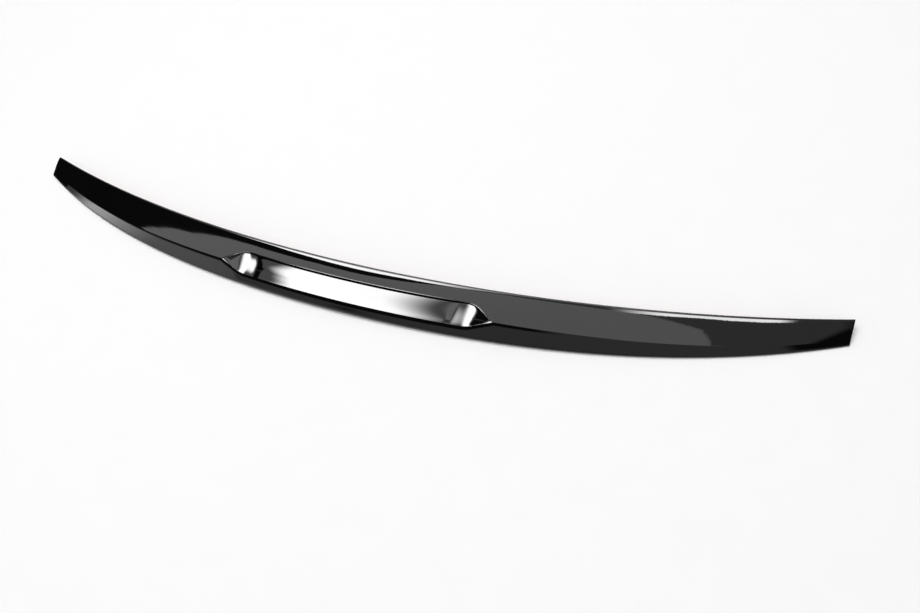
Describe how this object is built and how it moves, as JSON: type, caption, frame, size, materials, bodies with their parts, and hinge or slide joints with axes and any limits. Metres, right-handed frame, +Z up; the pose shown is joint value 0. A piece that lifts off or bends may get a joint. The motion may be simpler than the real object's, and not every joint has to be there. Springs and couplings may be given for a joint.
{
  "type": "boot lid lip spoiler",
  "caption": "Gloss black bowed lip spoiler for a boot lid, with a crisp trailing crease, a long scoop in its middle, a ribbed hollow underside and bonding tape.",
  "frame": {"origin": "below the middle of the part's outline, on the plane that its rear lower edge rests on", "axes": "+X along the spoiler from tip to tip, +Y to the front of the car, +Z up as it lies on its rear lower edge"},
  "size_m": [1.18, 0.1458, 0.0282],
  "materials": {
    "gloss_black": "high gloss black",
    "foam_tape": "matte dark grey acrylic foam",
    "release_liner": "satin red film"
  },
  "bodies": {
    "root": {"body": "gloss_black", "front_tape": "foam_tape", "rear_tape": "foam_tape", "front_liner": "release_liner", "rear_liner": "release_liner"}
  },
  "joints": []
}
